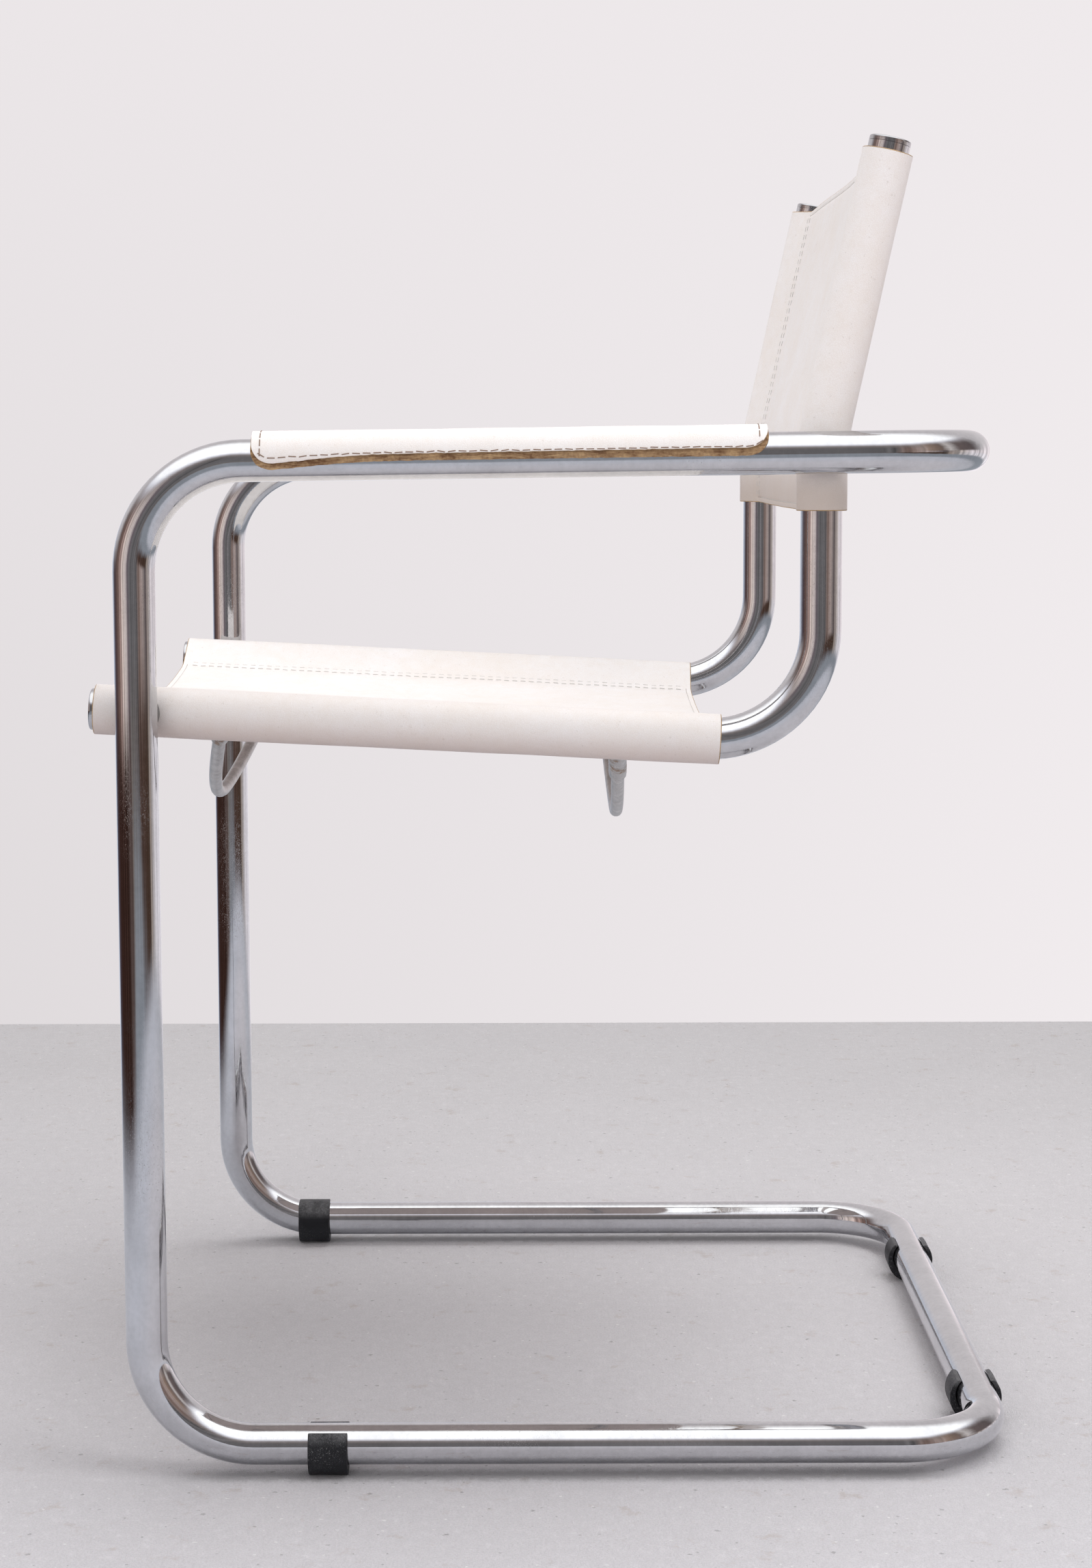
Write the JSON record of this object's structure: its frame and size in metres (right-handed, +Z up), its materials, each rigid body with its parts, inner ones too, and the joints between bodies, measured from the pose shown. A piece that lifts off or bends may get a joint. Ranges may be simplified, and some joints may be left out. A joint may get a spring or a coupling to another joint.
{
  "type": "cantilever lounge chair",
  "caption": "Cantilever lounge chair of bent chromed tube with a white leather sling seat and back, leather arm covers and black glides.",
  "frame": {"origin": "on the floor, under the middle of the chair's overall width and depth", "axes": "+Z up, the chair faces -Y, +X is the sitter's left"},
  "size_m": [0.5686, 0.5668, 0.8033],
  "materials": {
    "chrome_tube": "polished, with fine scratches",
    "chrome_cap": "polished, a little dull",
    "plain_steel": "plain",
    "grey_steel": "satin, with rust at the sockets",
    "black_plastic": "matt",
    "white_leather": "smooth, stitched",
    "brown_leather": "raw cut edge"
  },
  "bodies": {
    "root": {"frame_left": "chrome_tube", "seat_tube_left": "chrome_tube", "rail_cap_left": "chrome_cap", "post_cap_left": "chrome_cap", "arm_lining_left": "brown_leather", "arm_cover_left": "white_leather", "front_spacer_left": "plain_steel", "front_bolt_left": "plain_steel", "front_nut_left": "plain_steel", "front_socket_left": "grey_steel", "front_glide_left": "black_plastic", "rear_spacer_left": "plain_steel", "rear_bolt_left": "plain_steel", "rear_nut_left": "plain_steel", "rear_socket_left": "grey_steel", "rear_glide_left": "black_plastic", "frame_right": "chrome_tube", "seat_tube_right": "chrome_tube", "rail_cap_right": "chrome_cap", "post_cap_right": "chrome_cap", "arm_lining_right": "brown_leather", "arm_cover_right": "white_leather", "front_spacer_right": "plain_steel", "front_bolt_right": "plain_steel", "front_nut_right": "plain_steel", "front_socket_right": "grey_steel", "front_glide_right": "black_plastic", "rear_spacer_right": "plain_steel", "rear_bolt_right": "plain_steel", "rear_nut_right": "plain_steel", "rear_socket_right": "grey_steel", "rear_glide_right": "black_plastic", "base_join_sleeve": "plain_steel", "arm_join_sleeve": "plain_steel", "front_stretcher": "grey_steel", "rear_stretcher": "grey_steel", "seat_sling": "white_leather", "back_sling": "white_leather"}
  },
  "joints": []
}
